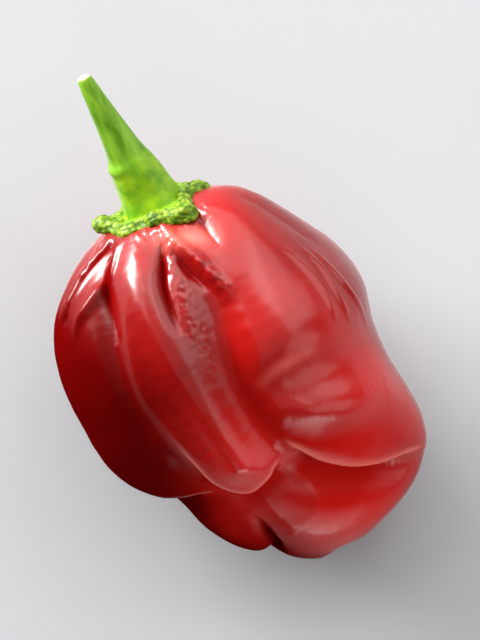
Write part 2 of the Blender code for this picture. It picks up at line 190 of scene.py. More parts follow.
def plain_normal(t, turn):
    """The way out of the plain pod. Next to a pole it is taken three steps away from it."""
    return way_out(plain_pod, np.clip(t, 3 * POD_STEP, 1 - 3 * POD_STEP), turn, POD_STEP)


# %% [markdown]
# ## Lines on the skin
#
# Ribs, grooves and folds are lines on the skin. Those on the upper side are given as they look from
# above, in x and y, and are dropped onto the plain pod. Those on the sides and underneath are given as
# depth below the calyx and turn in degrees. For every point of the skin we then need its distance from
# the line, with a sign for the side.

# %% Dropping a line onto the pod
UPPER_GRID = 240
UPPER_REACH = (0.01, 0.995)


def upper_skin():
    """A grid over the pod's upper side: its points and normals."""
    t, turn = np.meshgrid(np.linspace(*UPPER_REACH, UPPER_GRID), np.linspace(0.0, math.pi, UPPER_GRID))
    skin, normal = plain_pod(t.ravel(), turn.ravel()), plain_normal(t.ravel(), turn.ravel())
    return skin[normal[:, 2] > 0], normal[normal[:, 2] > 0]


UPPER_SKIN, UPPER_NORMAL = upper_skin()
print("grid points that face up:", len(UPPER_SKIN))


def heights_of(points):
    """The third number of each point."""
    return np.array([point[2] for point in points])


def on_top(points):
    """For each (x, y, height), the grid's point that is seen at (x, y) once it has risen by the height."""
    seen = np.array([p[:2] for p in points])
    height = heights_of(points)
    at = UPPER_SKIN[None, :, :2] + height[:, None, None] * UPPER_NORMAL[None, :, :2]
    return UPPER_SKIN[np.linalg.norm(at - seen[:, None], axis=2).argmin(axis=1)]


def on_side(points):
    """For each (depth, turn in degrees), the skin point there. Depths are looked up beyond the shoulders."""
    p = np.asarray(points, float)
    first = SECTION_ROWS[:, 0].argmin()
    t = np.interp(p[:, 0], SECTION_ROWS[first:, 0], SECTION_T[first:])
    return plain_pod(t, np.radians(p[:, 1]))


def where_it_lies(lift, points):
    """The points of a line whose third number doesn't move the skin, such as a share or a fold's drop."""
    return lift([(a, b, 0.0) for a, b, _ in points])


# %% How far the skin is from a line
BEND_SOFTNESS = (0.02, 0.1)


def distance_from(points, heights, count, skin, normal):
    """The nearest point on each of count - 1 straight pieces of the curve, then the nearest pieces, blended
    with weights e^(-(squared distance, less the smallest) / softness), which leave no crease inside a bend.
    Returns the distance, positive on the left, the line's height there, and the direction to the left."""
    path = curve_through(points, count)
    height = curve_through(np.array(heights)[:, None], count)[:, 0]
    a, step = path[:-1], np.diff(path, axis=0)
    off = skin[:, None] - a[None]
    share = np.clip((off * step).sum(2) / (step**2).sum(1), 0, 1)
    off = off - share[..., None] * step
    squared = (off**2).sum(2)
    near = squared.argmin(1)
    row = np.arange(len(skin))
    nearest = squared[row, near]
    softness = BEND_SOFTNESS[0] + BEND_SOFTNESS[1] * nearest
    weight = np.exp((nearest[:, None] - squared) / softness[:, None])
    weight /= weight.sum(1, keepdims=True)
    across = np.cross(normal, step[near])
    across /= np.linalg.norm(across, axis=1, keepdims=True)
    side = np.sign((off[row, near] * across).sum(1))
    height_there = (weight * (height[:-1] + share * np.diff(height))).sum(1)
    return side * np.sqrt((weight * squared).sum(1)), height_there, across


def within(path, reach, skin):
    """Which skin points are in the path's box, grown by reach: the others aren't changed."""
    return np.all((skin > path.min(0) - reach) & (skin < path.max(0) + reach), axis=1)


# %% [markdown]
# ## Three kinds of relief
#
# A groove between two lobes is narrow at the bottom and opens out, so its depth falls off exponentially.
# A lobe is soft all over, so it is a bell curve. A fold is where one lobe has grown over its neighbour:
# the skin rolls over in a lip, drops, and comes out again underneath. No height map can do that, so a
# fold also moves the skin sideways.

# %% Grooves, lobes and folds as heights
GROOVE_SHARPNESS = 3.3
# How many points each kind of line is followed through
GROOVE_POINTS, SWELL_POINTS, FOLD_POINTS = 24, 16, 40
# A fold in section: where the plain skin was, where it goes, and its height
FOLD_SHAPE = (
    (2.6, 2.6, 0.0),
    (1.6, 1.6, 0.08),
    (0.9, 0.84, 0.22),
    (0.45, 0.34, 0.27),
    (0.25, 0.06, 0.2),
    (0.12, -0.07, 0.0),
    (0.02, -0.02, -0.33),
    (-0.1, 0.05, -0.56),
    (-0.3, -0.16, -0.62),
    (-0.8, -0.78, -0.54),
    (-1.8, -1.8, -0.26),
    (-3.2, -3.2, 0.0),
)
FOLD_ROW_COUNT = 160
FOLD_ROWS = curve_through(FOLD_SHAPE[::-1], FOLD_ROW_COUNT)
FOLD_REACH = -FOLD_SHAPE[-1][0]
FOLD_SOFTNESS = 1.8
LIP_ROLLS_OVER = (1.2, 2.5)
HIDDEN_REACH = (0.8, 2.6)
LIP_LINE = (-0.1, 0.1)
SOFT_STEP_HEIGHT = 0.9
# Where the painted highlight along a lip's rim sets in with the drop, and its middle and width across the
# fold
EDGE_SETS_IN, EDGE_MIDDLE, EDGE_WIDTH = (0.5, 1.6), 0.2, 0.16


def ridge(path, width, heights, skin, normal):
    """height * e^(-distance / width), with the crest rounded off over width / GROOVE_SHARPNESS."""
    away, height, _ = distance_from(path, heights, GROOVE_POINTS, skin, normal)
    rounding = width / GROOVE_SHARPNESS
    return height * np.exp(-(np.hypot(away, rounding) - rounding) / width)


def swell(path, width, heights, skin, normal):
    """height * e^(-(distance / width)²): a soft lobe, or a hollow where the height is negative."""
    away, height, _ = distance_from(path, heights, SWELL_POINTS, skin, normal)
    return height * np.exp(-((away / width) ** 2))


def fold(path, spread, drops, skin, normal):
    """FOLD_SHAPE read at distance / width, where the width is spread * √(drop² + FOLD_SOFTNESS²). A low fold
    is only a soft step: the sideways moves set in between the two drops of LIP_ROLLS_OVER. Returns the moves,
    the heights, the share of being hidden under the lip, which gets painted shade, and the share of the lip's
    rim, which gets a painted highlight."""
    away, drop, across = distance_from(path, drops, FOLD_POINTS, skin, normal)
    width = spread * np.hypot(drop, FOLD_SOFTNESS)
    was = np.clip(away / width, FOLD_ROWS[0, 0], FOLD_ROWS[-1, 0])
    goes, lip = (np.interp(was, FOLD_ROWS[:, 0], FOLD_ROWS[:, k]) for k in (1, 2))
    drop = np.maximum(drop, 0)
    rolled = ease(*LIP_ROLLS_OVER, drop)
    soft_step = SOFT_STEP_HEIGHT * was * np.exp(-(was**2))
    hidden = rolled * (1 - ease(*LIP_LINE, was)) * (1 - ease(*HIDDEN_REACH, -was))
    rise = drop * (rolled * lip + (1 - rolled) * soft_step)
    # The lip's rim gets a painted highlight
    painted_highlight = ease(*EDGE_SETS_IN, drop) * np.exp(-(((was - EDGE_MIDDLE) / EDGE_WIDTH) ** 2))
    return (rolled * width * (goes - was))[:, None] * across, rise, hidden, painted_highlight


# %% [markdown]
# ## Where the relief goes
#
# A row of each table is one line: its width, then its points. The third number of a point is the height
# there, or the depth with a minus. The lines on the upper side start at the ring of the calyx and run
# towards the tip, as on the real fruit, where the lobes are what grew between the veins. Those out of
# sight follow the same plan.

# %% Grooves between the lobes
TOP_GROOVES = (
    (0.45, ((-5.9, -1.2, -0.4), (-6.9, -1.8, -0.8), (-9.7, -3.4, -1.0), (-12.4, -5.0, -1.0),
        (-14.6, -6.5, -0.7), (-16.6, -9.0, 0.0))),
    (0.8, ((-5.2, -1.6, -0.4), (-6.3, -2.6, -0.9), (-8.1, -5.0, -1.3), (-9.4, -6.9, -1.1),
        (-10.3, -9.2, -0.7), (-11.0, -12.5, 0.0))),
    (0.45, ((0.2, -1.4, 0.0), (-0.3, -3.1, -0.3), (-1.4, -6.2, -1.1), (-2.4, -8.9, -1.1),
        (-2.9, -12.1, -0.8), (-3.2, -15.0, 0.0))),
    (0.45, ((0.2, -4.6, 0.0), (0.7, -6.2, -0.7), (1.1, -8.2, -0.8), (1.9, -10.0, -0.5),
        (3.0, -12.0, 0.0))),
    (0.6, ((5.0, -2.2, -0.3), (5.3, -3.6, -0.6), (5.6, -5.2, -0.5), (6.1, -7.2, 0.0))),
)
SIDE_GROOVES = (
    (1.6, ((0.6, 28, -0.1), (3.0, 24, -0.3), (8.0, 20, -0.3), (14.0, 18, 0.0))),
    (1.2, ((0.6, -8, -0.3), (3.0, -12, -0.9), (8.0, -15, -0.7), (12.0, -16, 0.0))),
    (2.0, ((0.6, -34, -0.6), (4.0, -36, -2.0), (14.0, -34, -2.6), (26.0, -32, -1.6), (37.0, -38, 0.0))),
    (0.9, ((0.6, -72, -0.3), (4.0, -70, -1.0), (9.0, -68, 0.0))),
    (1.9, ((0.6, -112, -0.6), (4.0, -116, -1.9), (14.0, -122, -2.3), (26.0, -126, -1.5),
        (37.0, -122, 0.0))),
    (0.8, ((0.6, -142, -0.3), (3.0, -145, -1.0), (8.0, -147, -0.7), (12.0, -148, 0.0))),
    (1.7, ((0.6, -164, -0.5), (4.0, -168, -1.8), (14.0, -170, -2.0), (24.0, -168, -1.2),
        (32.0, -166, 0.0))),
    (1.4, ((48.6, -62, 0.0), (45.0, -58, -1.7), (40.0, -52, -1.5), (35.0, -48, 0.0))),
    (1.4, ((48.6, -146, 0.0), (45.0, -143, -1.6), (40.0, -139, -1.4), (35.0, -136, 0.0))),
    (0.8, ((39.0, 128, 0.0), (41.0, 128, -0.8), (43.2, 131, -1.7), (45.6, 140, -2.6),
        (46.8, 160, -2.6), (46.3, 185, -1.6), (44.5, 205, 0.0))),
)
print("grooves:", len(TOP_GROOVES), "on the upper side,", len(SIDE_GROOVES), "elsewhere")

# %% Soft lobes, and soft hollows between them
TOP_SWELLS = (
    (1.7, ((-7.6, -4.6, 0.0), (-9.8, -8.0, -0.6), (-11.0, -12.0, -1.1), (-11.8, -17.0, -1.0),
        (-12.0, -23.0, -0.6), (-11.4, -29.0, 0.0))),
    (2.9, ((1.0, -6.0, 0.0), (2.0, -10.5, -0.8), (2.0, -14.0, -1.6), (0.8, -19.0, -1.8),
        (0.0, -25.0, -1.6), (0.3, -29.0, -1.2), (1.6, -32.0, -0.4))),
    (2.6, ((-4.4, -1.5, 0.5), (-5.0, -6.0, 1.2), (-5.8, -12.0, 1.3), (-5.2, -20.0, 1.3),
        (-4.6, -27.0, 1.6), (-3.9, -33.0, 1.8))),
    (1.0, ((0.7, -2.0, 0.2), (1.3, -4.1, 0.5), (2.3, -5.9, 0.7), (3.1, -8.0, 0.7), (3.9, -10.8, 0.4),
        (4.8, -13.5, 0.0))),
    (0.7, ((-5.2, -0.8, 0.2), (-5.8, -1.4, 0.5), (-8.8, -4.0, 0.7), (-12.2, -6.3, 0.7),
        (-14.2, -7.8, 0.4), (-15.8, -10.2, 0.0))),
    (0.7, ((-5.6, 0.2, 0.2), (-6.6, -0.3, 0.5), (-9.0, -1.5, 0.6), (-11.5, -2.9, 0.6),
        (-14.2, -4.7, 0.6), (-16.6, -7.2, 0.0))),
    (5.5, ((8.0, -5.0, 0.3), (10.5, -12.0, 0.5), (11.0, -19.0, 0.6))),
    (3.2, ((5.0, -29.5, 1.1), (8.5, -31.0, 1.6), (13.0, -32.2, 1.5), (17.0, -32.5, 0.7))),
    (4.0, ((1.0, -39.0, 0.4), (4.0, -41.5, 0.5), (8.0, -43.0, 0.5))),
)
print("soft lobes and hollows:", len(TOP_SWELLS))

# %% Folds
# The width as a multiple of the drop, then points with their drop.
# The upper lobe is on the left of the line.
TOP_FOLDS = (
    (0.95, ((-10.4, -20.5, 0.0), (-10.1, -24.5, 0.5), (-9.4, -28.5, 1.2), (-8.5, -31.5, 1.9),
        (-7.0, -34.1, 2.8), (-5.4, -35.6, 3.2), (-3.6, -36.0, 3.3), (-1.4, -35.4, 2.7),
        (0.3, -34.7, 1.5), (1.4, -34.3, 0.6), (2.4, -34.0, 0.0))),
    (1.1, ((1.6, -29.0, 0.0), (2.0, -31.2, 0.4), (3.0, -33.2, 1.2), (4.4, -35.0, 2.1),
        (6.4, -36.9, 2.7), (9.2, -38.9, 2.8), (12.8, -40.4, 2.2), (16.6, -41.1, 1.3),
        (20.0, -41.4, 0.0))),
    (2.3, ((2.0, -28.2, 0.0), (2.7, -26.6, 0.4), (4.0, -25.3, 0.8), (5.8, -24.5, 1.0),
        (8.2, -24.3, 1.0), (10.8, -24.6, 0.7), (13.6, -25.4, 0.3), (16.0, -26.2, 0.0))),
)
SIDE_FOLDS = (
    (1.2, ((24.0, -150, 0.0), (26.5, -162, 1.5), (28.8, -178, 2.2), (30.8, 164, 2.6), (33.0, 146, 2.2),
        (35.0, 130, 0.0))),
    (1.6, ((30.0, -18, 0.0), (33.0, -34, 1.4), (35.0, -52, 1.8), (36.0, -72, 1.6), (36.0, -92, 1.4),
        (35.0, -112, 0.0))),
)
print("deepest fold, mm:", max(heights_of(points).max() for _, points in TOP_FOLDS + SIDE_FOLDS))

# %% [markdown]
# ## Fine relief: random, but not noise all over
#
# The skin is smooth over most of the pod. It is wrinkled where it is gathered into the calyx, warty along
# the strip between the two middle lobes, and a little creased at the tip. So the random relief is
# multiplied by masks along lines. The random numbers sit on a lattice and are blended between, which is
# called value noise.

# %% Value noise in three dimensions
LATTICE = 32


def lumps(points, size, seed):
    """Random numbers from -1 to 1 at the corners of a cubic lattice, blended by 3f² - 2f³ between."""
    table = np.random.default_rng(seed).uniform(-1, 1, (LATTICE,) * 3)
    spot = points / size
    cell = np.floor(spot).astype(int)
    f = spot - cell
    f = f * f * (3 - 2 * f)
    total = np.zeros(len(points))
    for corner in np.ndindex(2, 2, 2):
        weight = np.prod(np.where(corner, f, 1 - f), axis=1)
        total += weight * table[tuple((cell + corner).T % LATTICE)]
    return total


# %% [markdown]
# Warts and crumbs are round, with sharp gaps between them, which value noise never gives. A second kind
# of noise does: one point is dropped at random into each cube of a lattice, and the height is a dome
# round the nearest point.

# %% Rounded crumbs
# Where in its cube a random point may lie
JITTER = (0.1, 0.9)


def crumbs(points, size, seed):
    """1 - (distance to the nearest random point, in cubes)², looked for in the 27 cubes round each place."""
    jitter = np.random.default_rng(seed).uniform(*JITTER, (LATTICE, LATTICE, LATTICE, 3))
    spot = points / size
    cell = np.floor(spot).astype(int)
    nearest = np.full(len(points), np.inf)
    for step in np.ndindex(3, 3, 3):
        cube = cell + np.array(step) - 1
        centre = cube + jitter[tuple((cube % LATTICE).T)]
        nearest = np.minimum(nearest, ((spot - centre) ** 2).sum(1))
    return 1 - nearest


# %% Lines that carry warts, and wrinkles
# Width of the strip, size and height of the warts, then points with their share
WARTY_LINES = (
    (1.4, 0.75, 0.26, ((0.5, -1.2, 0.8), (0.3, -4.0, 1.0), (-0.2, -7.0, 1.0), (-0.8, -11.0, 1.0),
        (-1.3, -15.0, 0.8), (-1.6, -19.0, 0.4), (-1.2, -23.0, 0.0))),
    (2.3, 0.7, 0.1, ((-0.4, -10.0, 0.0), (-0.6, -14.0, 0.9), (-0.6, -18.0, 1.0), (-0.6, -22.0, 0.4),
        (-0.4, -25.0, 0.0))),
    (0.9, 1.0, 0.34, ((0.7, -2.0, 1.0), (1.3, -4.1, 1.0), (2.3, -5.9, 1.0), (3.1, -8.0, 1.0),
        (3.9, -10.8, 0.8), (4.8, -13.5, 0.0))),
    (0.9, 1.1, 0.3, ((-5.6, 0.2, 1.0), (-9.0, -1.5, 1.0), (-14.2, -4.7, 1.0), (-16.6, -7.2, 0.0))),
    (0.8, 1.1, 0.2, ((-5.2, -0.8, 1.0), (-8.8, -4.0, 1.0), (-12.2, -6.3, 1.0), (-15.2, -9.2, 0.0))),
    (2.2, 1.0, 0.25, ((-3.6, -0.4, 1.0), (-1.5, -1.2, 1.0), (2.0, -1.4, 1.0), (5.5, -1.8, 0.6),
        (8.5, -1.4, 0.2))),
)
# Thin raised wrinkles: width, then points with their height
WRINKLES = (
    (0.5, ((12.5, -10.0, 0.0), (14.6, -14.0, 0.3), (15.4, -18.0, 0.36), (14.8, -22.0, 0.0))),
    (0.5, ((14.6, -10.5, 0.0), (16.4, -14.5, 0.3), (17.1, -18.5, 0.36), (16.6, -23.0, 0.0))),
    (0.5, ((16.0, -11.5, 0.0), (17.8, -15.5, 0.26), (18.8, -19.5, 0.3), (18.6, -25.0, 0.0))),
)
print("strips of warts:", len(WARTY_LINES), "wrinkles:", len(WRINKLES))

# %% All the lines together
# How many widths away a groove, and a soft lobe, has faded out
GROOVE_FADES, SWELL_FADES = 6, 3
FINE_WART_SIZE, FINE_WART_SHARE = 0.6, 0.4


def relief_lines(skin, normal):
    """All grooves, lobes and wrinkles, added up, and apart from them the grooves alone, for the colour."""
    height, groove = np.zeros(len(skin)), np.zeros(len(skin))
    for lines, lift in ((TOP_GROOVES, on_top), (SIDE_GROOVES, on_side)):
        for width, points in lines:
            path = lift(points)
            near = within(path, GROOVE_FADES * width, skin)
            groove[near] += ridge(path, width, heights_of(points), skin[near], normal[near])
    for width, points in TOP_SWELLS + WRINKLES:
        path = on_top(points)
        near = within(path, SWELL_FADES * width, skin)
        height[near] += swell(path, width, heights_of(points), skin[near], normal[near])
    return height + groove, groove


def warts(skin, normal):
    """Along each warty line, fine crumbs on larger ones, times a bell curve across the line."""
    height = np.zeros(len(skin))
    for line, (width, size, tall, points) in enumerate(WARTY_LINES):
        path = where_it_lies(on_top, points)
        near = within(path, SWELL_FADES * width, skin)
        share = swell(path, width, heights_of(points), skin[near], normal[near])
        large, fine = crumbs(skin[near], size, 10 + line), crumbs(skin[near], FINE_WART_SIZE, 20 + line)
        height[near] += tall * share * (large + FINE_WART_SHARE * fine)
    return height


def folds(skin, normal):
    """Moves and heights of all folds, added up, and the highest share of being hidden under a lip, which gets
    painted shade, and of being a lip's rim, which gets a painted highlight.
    """
    sideways, height = np.zeros_like(skin), np.zeros(len(skin))
    under_lip, painted_highlight = np.zeros(len(skin)), np.zeros(len(skin))
    for lines, lift in ((TOP_FOLDS, on_top), (SIDE_FOLDS, on_side)):
        for spread, points in lines:
            path, drops = where_it_lies(lift, points), heights_of(points)
            near = within(path, FOLD_REACH * spread * math.hypot(drops.max(), FOLD_SOFTNESS), skin)
            moved, rise, hidden, lip = fold(path, spread, drops, skin[near], normal[near])
            height[near] += rise
            sideways[near] += moved
            under_lip[near] = np.maximum(under_lip[near], hidden)
            painted_highlight[near] = np.maximum(painted_highlight[near], lip)
    return sideways, height, under_lip, painted_highlight


# %% [markdown]
# Between the lines the skin isn't quite even either. It rolls a little round the pod and along it, and
# undulates by hundredths of a millimetre, so that its reflections aren't those of a billiard ball.

# %% Slow unevenness over the whole pod
# Rise in mm, waves round the pod, half waves along it, and where they start
ROLLING = ((0.35, 3, 2.0, 0.4), (0.25, 5, 3.0, 2.1), (0.08, 8, 5.0, 4.0))
# Rise and size in mm, and the seed
TIP_CREASES = (0.03, 3.0, 3)
UNDULATIONS = ((0.025, 1.6, 4), (0.012, 0.8, 5))
TIP_STARTS = (0.6, 0.8)


def slow_unevenness(t, turn, skin):
    """Products of a sine round the pod and one along it, then value noise at the tip and all over."""
    height = np.zeros(len(skin))
    for rise, waves_round, waves_along, phase in ROLLING:
        height += rise * np.sin(waves_round * turn + phase) * np.sin(waves_along * math.pi * t + 2 * phase)
    rise, *creases = TIP_CREASES
    height += rise * lumps(skin, *creases) * ease(*TIP_STARTS, t)
    for rise, size, seed in UNDULATIONS:
        height += rise * lumps(skin, size, seed)
    return height


# %% [markdown]
# ## Where light and shade are painted into the colour, and the wax taken away
#
# The pod's red has painted light and painted shade in it. Some lobes are painted a brighter red where they
# face up, as light. Grooves, the undersides of the lips and the left flank are painted dark, as shade. The
# coat's reflections are taken away from those shaded places, and from two strips along the folds, so they
# don't shine: painted shade in the gloss. The lips' edges, and the skin right under the ring, get a pale
# painted highlight. Each of these is a number from 0 to 1 at each point, which the mesh carries as an
# attribute and the material reads. That way they follow the folds.

# %% Places with painted light and shade, and without the coat's reflections
# Lobes painted a brighter red, as light: middle x and y, radius, share
PAINTED_LIGHT_LOBES = (
    (9.0, -18.5, 8.5, 0.38),
    (8.0, -4.0, 6.0, 0.3),
    (7.5, -43.0, 9.0, 1.0),
    (-4.0, -33.0, 8.0, 0.8),
    (17.0, -30.0, 8.0, 0.7),
    (-8.0, -41.0, 5.0, 0.35),
)
# The painted light is strongest where the skin faces up: from this height of the normal to that
PAINTED_LIGHT_FACES_UP = (0, 0.5)
# The left flank, painted dark as shade and without the coat's reflections: how far a point's normal leans
# that way, from where to where
SHADED_FLANK_SIDE = np.array([-0.98, -0.2, 0.0])
SHADED_FLANK_RANGE = (0.1, 0.65)
# Lines along which the coat's reflections are taken away, as painted shade in the valley and under the lips:
# width, then points with the share lost
GLOSS_SHADE_LINES = (
    (2.7, ((3.0, -13.0, 0.0), (1.2, -19.0, 0.6), (0.6, -25.0, 0.8), (1.4, -29.0, 0.9),
        (3.2, -32.0, 1.0), (5.5, -33.6, 1.0), (8.5, -35.2, 1.0), (12.0, -36.5, 0.8),
        (15.5, -37.2, 0.4), (18.0, -37.5, 0.0))),
    (4.2, ((-4.0, -37.0, 0.5), (-1.5, -38.5, 0.9), (3.0, -41.5, 1.0), (8.0, -43.5, 1.0),
        (12.0, -43.5, 0.5), (15.0, -42.5, 0.0))),
)
# Right under the ring the skin gets a pale painted highlight: width, then points with the share
PAINTED_HIGHLIGHT_LINES = (
    (1.5, ((-1.5, -2.2, 0.2), (0.6, -3.4, 0.8), (2.9, -4.2, 0.9), (4.9, -4.7, 0.6), (7.5, -5.5, 0.0))),
)
# Painted shade in a groove is full at this depth
GROOVE_FULL_DEPTH = 1.5
# Grooves lose the coat's reflections between these shares, as painted shade
GROOVE_GLOSS_SHADED = (0.15, 0.6)
# The undersides of the lips get this share of painted shadow
LIP_SHADE = 0.25
# The painted highlight on the lips keeps this share of the coat
PAINTED_HIGHLIGHT_KEEPS_GLOSS = 0.7


def shares(lines, skin, normal):
    """The bell curve of each line, one array for each."""
    found = []
    for width, points in lines:
        found.append(swell(where_it_lies(on_top, points), width, heights_of(points), skin, normal))
    return found


def colour_masks(plain, skin, normal, groove, under_lip, painted_highlight):
    """The four numbers: painted shade, the coat taken away where shade is painted, painted light and painted
    highlight. The lobes of painted light add up, the others are the highest of what makes them, and the
    painted highlight on lip edges keeps most of the coat."""
    groove = np.clip(-groove / GROOVE_FULL_DEPTH, 0, 1)
    # The left flank, which faces away from the light, gets painted shade
    shaded_flank = ease(*SHADED_FLANK_RANGE, normal @ SHADED_FLANK_SIDE)
    # Painted highlight: along the lips' rims and right under the ring
    painted_highlight = np.maximum.reduce([painted_highlight, *shares(PAINTED_HIGHLIGHT_LINES, plain, normal)])
    gloss_shades = shares(GLOSS_SHADE_LINES, plain, normal)
    # The coat is taken away where shade is painted: the left flank, grooves, under the lips and along the
    # listed lines
    shade_without_gloss = np.clip(np.maximum.reduce([shaded_flank, ease(*GROOVE_GLOSS_SHADED, groove), under_lip, *gloss_shades]), 0, 1)
    # Painted light: a brighter red on the listed lobes, where the skin faces up
    painted_light = np.zeros(len(skin))
    for x, y, radius, share in PAINTED_LIGHT_LOBES:
        painted_light += share * np.exp(-((np.hypot(skin[:, 0] - x, skin[:, 1] - y) / radius) ** 2))
    painted_light = np.clip(painted_light * ease(*PAINTED_LIGHT_FACES_UP, normal[:, 2]), 0, 1)
    # Painted shade: in grooves, on the left flank where no lobe is painted light, and under the lips
    painted_shade = np.maximum.reduce([groove, shaded_flank * (1 - painted_light), LIP_SHADE * under_lip])
    return {"painted_shade": painted_shade, "shade_without_gloss": shade_without_gloss * (1 - PAINTED_HIGHLIGHT_KEEPS_GLOSS * painted_highlight), "painted_light": painted_light, "painted_highlight": painted_highlight}


# %% The whole pod's skin
RELIEF_SETS_IN = (0.03, 0.06)
RELIEF_ENDS = (0.94, 0.99)


def pod_skin(t, turn):
    """The plain pod, moved along its normal by the relief and sideways by the folds, never below z = 0."""
    plain, normal = plain_pod(t, turn), plain_normal(t, turn)
    height, groove = relief_lines(plain, normal)
    sideways, fold_height, under_lip, painted_highlight = folds(plain, normal)
    height += fold_height + slow_unevenness(t, turn, plain) + warts(plain, normal)
    strength = ease(*RELIEF_SETS_IN, t) * (1 - ease(*RELIEF_ENDS, t))
    skin = plain + strength[:, None] * (sideways + height[:, None] * normal)
    skin[:, 2] = np.maximum(skin[:, 2], 0)
    return skin, colour_masks(plain, skin, normal, groove, under_lip, painted_highlight)


# %% [markdown]
# ## From a grid to a mesh
#
# A quad mesh over the two parameters is the plainest way to make a closed skin, and it can be as fine as
# needed. The camera looks down on the pod, so its grid is closer on the upper side than underneath, and
# closer where the pod is wide than at its poles: the same number of faces shows more. Each pole is a
# single point, so the skin is closed.

# %% A closed mesh over a grid
def steps_by_density(count, density):
    """count + 1 numbers from 0 to 1, closer together where the density, given at even steps, is higher."""
    total = np.concatenate([[0], np.cumsum((density[1:] + density[:-1]) / 2)])
    return np.interp(np.linspace(0, 1, count + 1), total / total[-1], np.linspace(0, 1, len(density)))


def add_object(name, data):
    """An object that shows this data, linked to the scene."""
    made = bpy.data.objects.new(name, data)
    bpy.context.scene.collection.objects.link(made)
    return made


def closed_skin(name, skin, rows, turns, material):
    """A mesh of skin(row, turn), which gives points in mm and attributes: quads, triangles at the poles."""
    row, turn = np.meshgrid(rows[1:-1], turns, indexing="ij")
    row = np.concatenate([[rows[0]], row.ravel(), [rows[-1]]])
    turn = np.concatenate([[0.0], turn.ravel(), [0.0]])
    points, attributes = skin(row, turn)
    points = (points - np.array([*REST_SPOT, 0])) * MM
    index = 1 + np.arange(len(row) - 2).reshape(len(rows) - 2, len(turns))
    after = np.roll(index, -1, axis=1)
    quads = np.stack([index[:-1], after[:-1], after[1:], index[1:]], axis=-1).reshape(-1, 4)
    first = np.stack([np.zeros_like(index[0]), after[0], index[0]], axis=-1)
    last = np.stack([np.full_like(index[0], len(row) - 1), index[-1], after[-1]], axis=-1)
    mesh = bpy.data.meshes.new(name)
    mesh.from_pydata(points, [], [*quads.tolist(), *first.tolist(), *last.tolist()])
    for label, values in attributes.items():
        carried = mesh.attributes.new(label, "FLOAT", "POINT")
        carried.data.foreach_set("value", values.astype(np.float32))
    mesh.shade_smooth()
    mesh.materials.append(material)
    print(name, "has", 2 * len(quads) + 2 * len(index[0]), "triangles")
    return add_object(name, mesh)


# %% [markdown]
# ## Finishes
#
# A ripe pepper has deep red flesh under a clear, waxy skin. The wax gives the reflections of the window
# and the lamp, and the flesh none, so the finish is a base without any specular light and a coat over it.
# The coat's weight is the wax, and an attribute takes it away where shade is painted, so that no reflection
# shows there. The coat is a little rough, and a fine bump runs under both, because the skin isn't perfectly
# even and its reflections have soft edges.

# %% Small helpers for node materials
def new_material(name):
    """A material, its node tree and its Principled shader."""
    made = bpy.data.materials.new(name)
    made.use_nodes = True
    return made, made.node_tree, made.node_tree.nodes["Principled BSDF"]


def give(tree, node, inputs):
    """Inputs of a node, by name or number: each is a value, or another node's output to link."""
    for socket, value in inputs.items():
        if isinstance(value, bpy.types.NodeSocket):
            tree.links.new(value, node.inputs[socket])
        else:
            node.inputs[socket].default_value = value


def add_node(tree, kind, inputs=None, **settings):
    """A new node with its settings, and then its inputs."""
    node = tree.nodes.new(kind)
    for setting, value in settings.items():
        setattr(node, setting, value)
    give(tree, node, inputs or {})
    return node


def attribute(tree, name):
    """The number that each point of the mesh carries under that name."""
    return add_node(tree, "ShaderNodeAttribute", attribute_name=name).outputs["Fac"]


def stretched(tree, value, low, high, first=0.0, last=1.0):
    """The value, moved from the range low to high to the range first to last, and kept inside it."""
    limits = {"Value": value, "From Min": low, "From Max": high, "To Min": first, "To Max": last}
    return add_node(tree, "ShaderNodeMapRange", limits).outputs[0]


def ramp(tree, factor, stops):
    """A colour ramp with its stops given as (position, colour)."""
    node = add_node(tree, "ShaderNodeValToRGB", {"Fac": factor})
    elements = node.color_ramp.elements
    elements[0].position, elements[0].color = stops[0]
    elements[1].position, elements[1].color = stops[-1]
    for position, colour in stops[1:-1]:
        elements.new(position).color = colour
    return node.outputs["Color"]


def mixed(tree, factor, a, b):
    """Colours a and b mixed by factor. Several of the node's sockets share a name, so numbers pick them."""
    return add_node(tree, "ShaderNodeMix", {0: factor, 6: a, 7: b}, data_type="RGBA").outputs[2]


# %% [markdown]
# Pod and stem share one effect: blotches of colour and a slight bump, both from noise. It is a node
# group, built once. Each place where it is used gives its own scale, detail, strength and height.

# %% Unevenness that the pod and the stem share
def uneven_skin_group():
    """Noise at a place: as a mask from 0 to 1, and as the normal of a skin that rises and falls with it."""
    group = bpy.data.node_groups.new("uneven skin", "ShaderNodeTree")
    group.interface.new_socket("Place", in_out="INPUT", socket_type="NodeSocketVector")
    for name in ("Scale", "Detail", "Strength", "Height"):
        group.interface.new_socket(name, in_out="INPUT", socket_type="NodeSocketFloat")
    group.interface.new_socket("Mask", in_out="OUTPUT", socket_type="NodeSocketFloat")
    group.interface.new_socket("Normal", in_out="OUTPUT", socket_type="NodeSocketVector")
    given = group.nodes.new("NodeGroupInput").outputs
    where = {"Vector": given["Place"], "Scale": given["Scale"], "Detail": given["Detail"]}
    noise = add_node(group, "ShaderNodeTexNoise", where).outputs["Fac"]
    rise = {"Height": noise, "Strength": given["Strength"], "Distance": given["Height"]}
    bump = add_node(group, "ShaderNodeBump", rise).outputs["Normal"]
    add_node(group, "NodeGroupOutput", {"Mask": noise, "Normal": bump})
    return group


UNEVEN_SKIN = uneven_skin_group()


def uneven_skin(tree, place, noise):
    """The shared group with this material's own values. Returns its mask and its normal."""
    node = add_node(tree, "ShaderNodeGroup", {"Place": place, **noise}, node_tree=UNEVEN_SKIN)
    return node.outputs["Mask"], node.outputs["Normal"]


# %% The pod's reds
POD_DARK = (0.16, 0.001, 0.001, 1.0)
POD_RED = (0.20, 0.002, 0.0015, 1.0)
POD_LIGHT = (0.27, 0.005, 0.004, 1.0)
